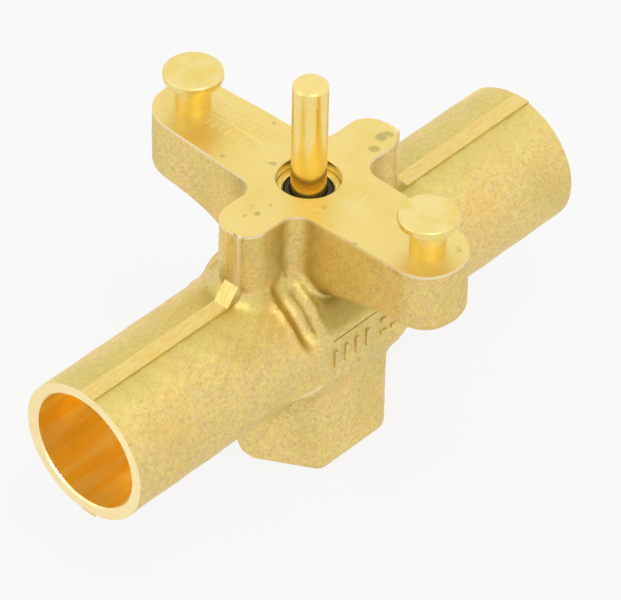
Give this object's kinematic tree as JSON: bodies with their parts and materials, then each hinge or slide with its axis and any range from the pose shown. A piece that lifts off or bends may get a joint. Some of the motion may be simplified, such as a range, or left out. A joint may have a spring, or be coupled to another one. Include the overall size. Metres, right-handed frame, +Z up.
{
  "type": "refrigerant service valve",
  "caption": "Forged brass two-way valve body with solder sockets, a sprung push stem through a cross flange, and two headed pins that lock an actuator on.",
  "frame": {"origin": "centre of the foot's bottom face, on the stem axis", "axes": "+Z up along the stem, +X along the pipe axis, +Y along the flange's long arms"},
  "size_m": [0.1108, 0.0692, 0.0774],
  "materials": {
    "forged_brass": "as forged, shot blasted",
    "turned_brass": "turned",
    "polished_brass": "polished",
    "black_rubber": "moulded",
    "white_plastic": "turned PTFE",
    "spring_steel": "drawn wire"
  },
  "bodies": {
    "body": {"valve_body": "forged_brass", "actuator_pin_left": "turned_brass", "actuator_pin_right": "turned_brass", "seal_retainer": "turned_brass", "wiper_seal": "black_rubber", "upper_stem_o_ring": "black_rubber", "seal_spacer": "white_plastic", "lower_stem_o_ring": "black_rubber", "guide_bush": "turned_brass", "return_spring": "spring_steel", "bottom_plug": "turned_brass", "plug_o_ring": "black_rubber"},
    "stem_assembly": {"stem": "polished_brass", "disc_washer": "turned_brass", "seat_disc": "black_rubber", "disc_carrier": "turned_brass", "lock_washer": "spring_steel", "disc_nut": "turned_brass"}
  },
  "joints": [
    {"name": "stem_press", "type": "slide", "parent": "body", "child": "stem_assembly", "axis": [0, 0, 1], "range_m": [-0.0045, 0], "stiffness_N_per_m": 4000, "springref_m": 0.006, "deforming": ["return_spring"]}
  ]
}
